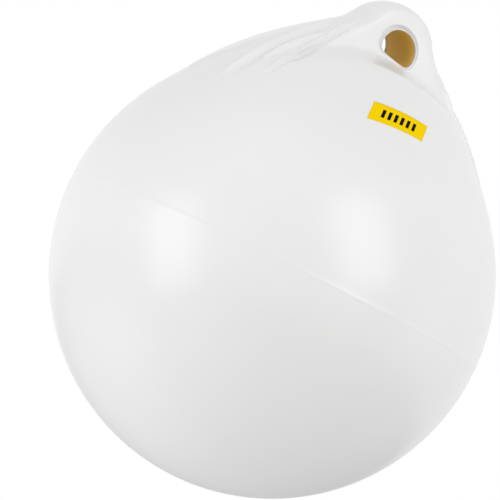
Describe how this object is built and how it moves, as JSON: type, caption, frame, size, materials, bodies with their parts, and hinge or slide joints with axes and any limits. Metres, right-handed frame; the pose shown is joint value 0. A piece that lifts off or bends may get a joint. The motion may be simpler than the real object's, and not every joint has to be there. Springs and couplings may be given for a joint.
{
  "type": "mooring buoy ball",
  "caption": "Inflated vinyl buoy ball with a moulded rope eye on a webbed neck, a lined eye and a needle valve.",
  "frame": {"origin": "centre of the rope eye, where the shackle or rope bears", "axes": "+Z from the ball to the eye, along the line that the buoy hangs or pulls in; Y along the eye's bore; X across the lug, in the plane of its two side webs; -Y is the side with the printed patch"},
  "size_m": [0.3814, 0.3812, 0.4475],
  "materials": {
    "white_vinyl": "satin moulded soft vinyl",
    "amber_nylon": "smooth extruded tube",
    "black_rubber": "matt moulded rubber",
    "yellow_print": "printed colour patch on the vinyl"
  },
  "bodies": {
    "root": {"buoy_shell": "white_vinyl", "eye_liner": "amber_nylon", "needle_valve": "black_rubber"}
  },
  "joints": []
}
